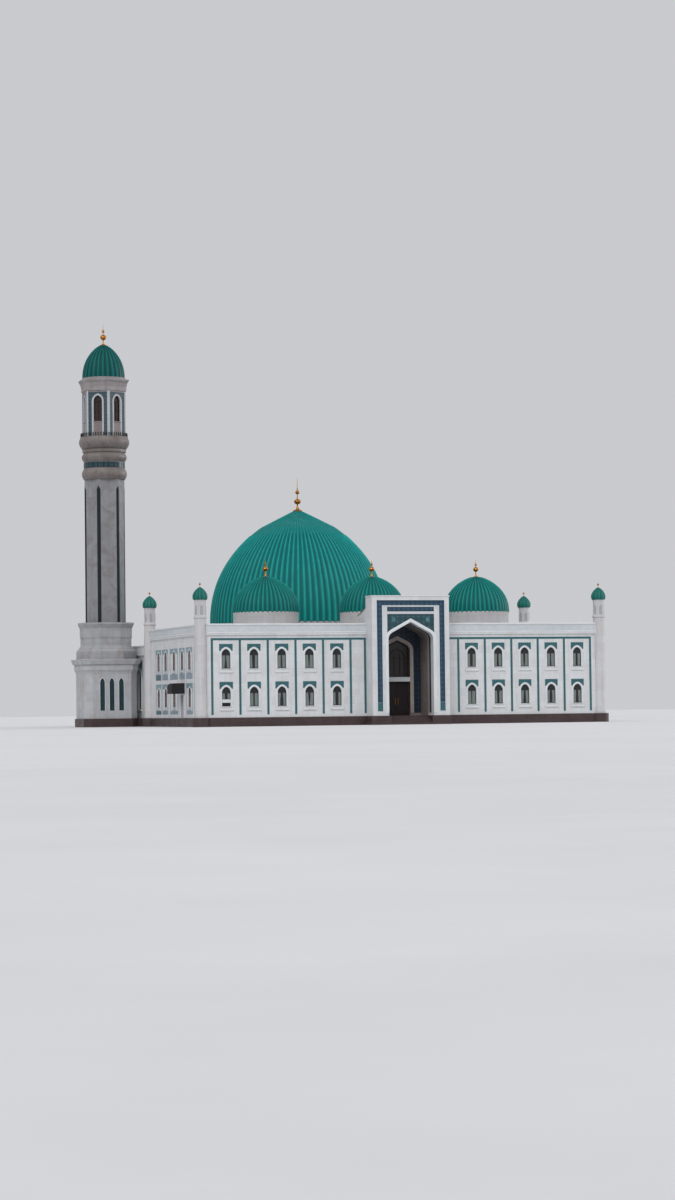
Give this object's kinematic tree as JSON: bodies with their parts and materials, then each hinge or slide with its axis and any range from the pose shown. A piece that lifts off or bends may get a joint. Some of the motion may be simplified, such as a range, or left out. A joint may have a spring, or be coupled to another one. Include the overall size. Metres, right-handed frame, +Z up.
{
  "type": "mosque building, 1:2 scale model",
  "caption": "Domed mosque with an arched portal between two window storeys, a prayer hall under a large ribbed dome, corner turrets and a hexagonal minaret.",
  "frame": {"origin": "centre of the underside of the plinth, on the line through the middle of the portal", "axes": "+X to the right of the portal, +Y back from the portal to the hall, +Z up; the portal faces -Y"},
  "size_m": [27.945, 32.61, 24.325],
  "materials": {
    "marble": "pale honed marble cladding",
    "dark_granite": "dark red-brown granite",
    "step_stone": "grey stone",
    "concrete": "grey screed",
    "green_metal": "satin green ribbed sheet",
    "window_glass": "dark tinted glass",
    "dark_wood": "dark stained wood",
    "dark_sheet": "dark painted sheet"
  },
  "bodies": {
    "building": {"front_wall_left": "marble", "front_wall_right": "marble", "side_wall_left": "marble", "side_wall_right": "marble", "block_back_wall": "marble", "hall_walls": "marble", "portal": "marble", "portal_niche": "marble", "turret_front_left": "marble", "turret_front_right": "marble", "turret_back_left": "marble", "turret_back_right": "marble", "minaret_base": "marble", "minaret_pedestal": "marble", "minaret_shaft": "marble", "minaret_gallery": "marble", "minaret_lantern": "marble", "small_drum_left": "marble", "small_drum_centre": "marble", "small_drum_right": "marble", "main_drum": "marble", "plinth": "dark_granite", "portal_steps": "step_stone", "upper_floor": "concrete", "front_roof": "concrete", "hall_roof": "concrete", "main_dome": "green_metal", "small_dome_left": "green_metal", "small_dome_centre": "green_metal", "small_dome_right": "green_metal", "turret_dome_front_left": "green_metal", "turret_dome_front_right": "green_metal", "turret_dome_back_left": "green_metal", "turret_dome_back_right": "green_metal", "minaret_dome": "green_metal", "portal_window": "window_glass", "lower_glass_left": "window_glass", "lower_glass_right": "window_glass", "upper_glass_left": "window_glass", "upper_glass_right": "window_glass", "hall_glass": "window_glass", "door_canopy": "dark_sheet"},
    "portal_door_left": {"portal_door_left": "dark_wood"},
    "portal_door_right": {"portal_door_right": "dark_wood"},
    "side_door": {"side_door": "dark_wood"}
  },
  "joints": [
    {"name": "portal_door_left_hinge", "type": "hinge", "parent": "building", "child": "portal_door_left", "pos_m": [-0.6975, -13.381, 1.45], "axis": [0, 0, 1], "range_deg": [0, 85]},
    {"name": "portal_door_right_hinge", "type": "hinge", "parent": "building", "child": "portal_door_right", "pos_m": [0.6975, -13.381, 1.45], "axis": [0, 0, -1], "range_deg": [0, 85]},
    {"name": "side_door_hinge", "type": "hinge", "parent": "building", "child": "side_door", "pos_m": [-11.551, -10.8575, 1.15], "axis": [0, 0, -1], "range_deg": [0, 85]}
  ]
}
